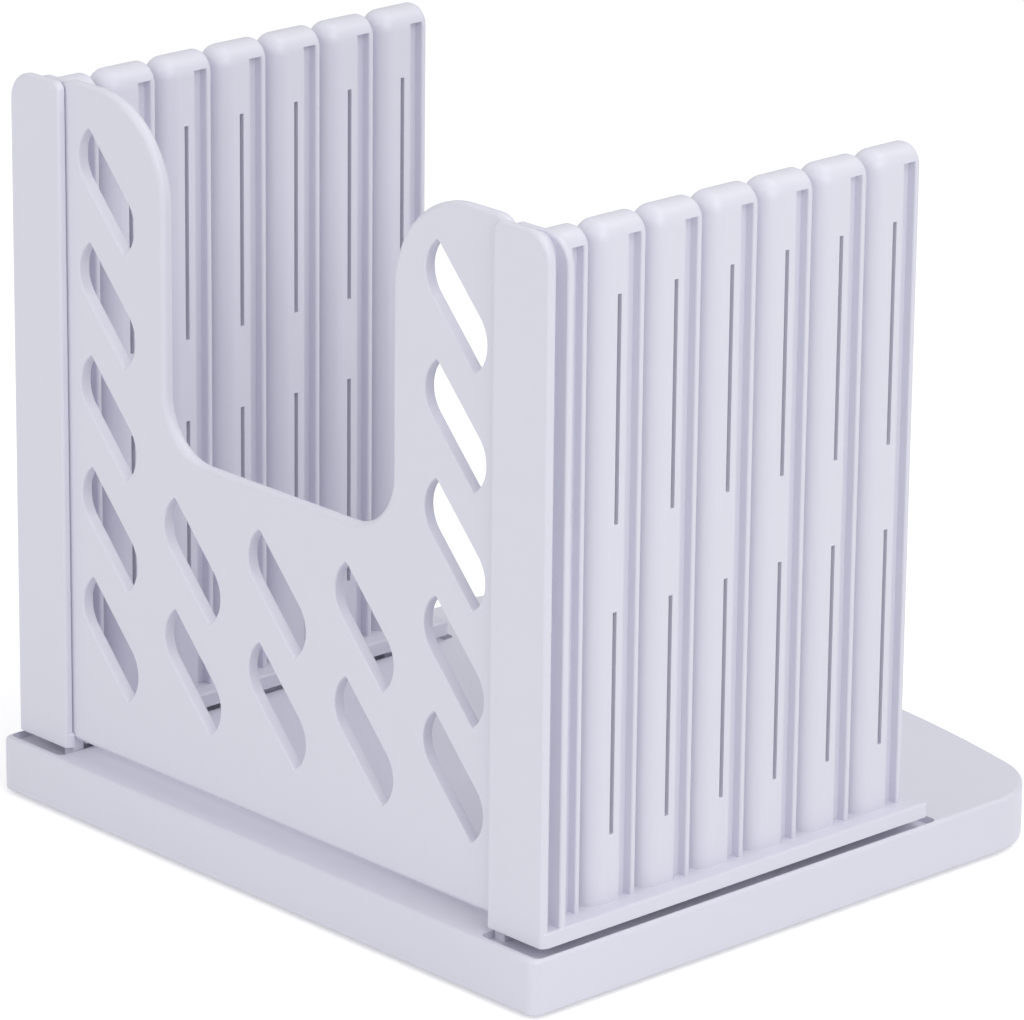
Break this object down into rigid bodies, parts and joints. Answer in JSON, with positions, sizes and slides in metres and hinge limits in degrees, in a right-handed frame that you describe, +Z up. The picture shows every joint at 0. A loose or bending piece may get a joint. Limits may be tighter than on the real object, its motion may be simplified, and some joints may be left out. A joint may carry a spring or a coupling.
{
  "type": "bread slicer guide",
  "caption": "Open-topped guide for cutting a loaf into even slices: a flat base tray, slotted side walls that guide the knife and an openwork front wall that stops the loaf.",
  "frame": {"origin": "on the table, under the middle of the object's outline", "axes": "+X to the right across the loaf, -Y towards the openwork front panel, +Z up"},
  "size_m": [0.158, 0.1504, 0.1512],
  "materials": {
    "tray_plastic": "satin white ABS with a faint violet cast",
    "comb_plastic": "satin white ABS with a faint violet cast",
    "front_plastic": "satin white ABS with a faint violet cast",
    "pad_rubber": "matte pale grey silicone rubber"
  },
  "bodies": {
    "tray": {"base_tray": "tray_plastic", "pad_front_left": "pad_rubber", "pad_front_right": "pad_rubber", "pad_rear_left": "pad_rubber", "pad_rear_right": "pad_rubber"},
    "left_wall": {"left_side_panel": "comb_plastic"},
    "right_wall": {"right_side_panel": "comb_plastic"},
    "front_wall": {"front_panel": "front_plastic"}
  },
  "joints": [
    {"name": "left_wall_lift", "type": "slide", "parent": "tray", "child": "left_wall", "axis": [0, 0, 1], "range_m": [0, 0.008]},
    {"name": "right_wall_lift", "type": "slide", "parent": "tray", "child": "right_wall", "axis": [0, 0, 1], "range_m": [0, 0.008]},
    {"name": "front_wall_lift", "type": "slide", "parent": "tray", "child": "front_wall", "axis": [0, 0, 1], "range_m": [0, 0.141]}
  ]
}
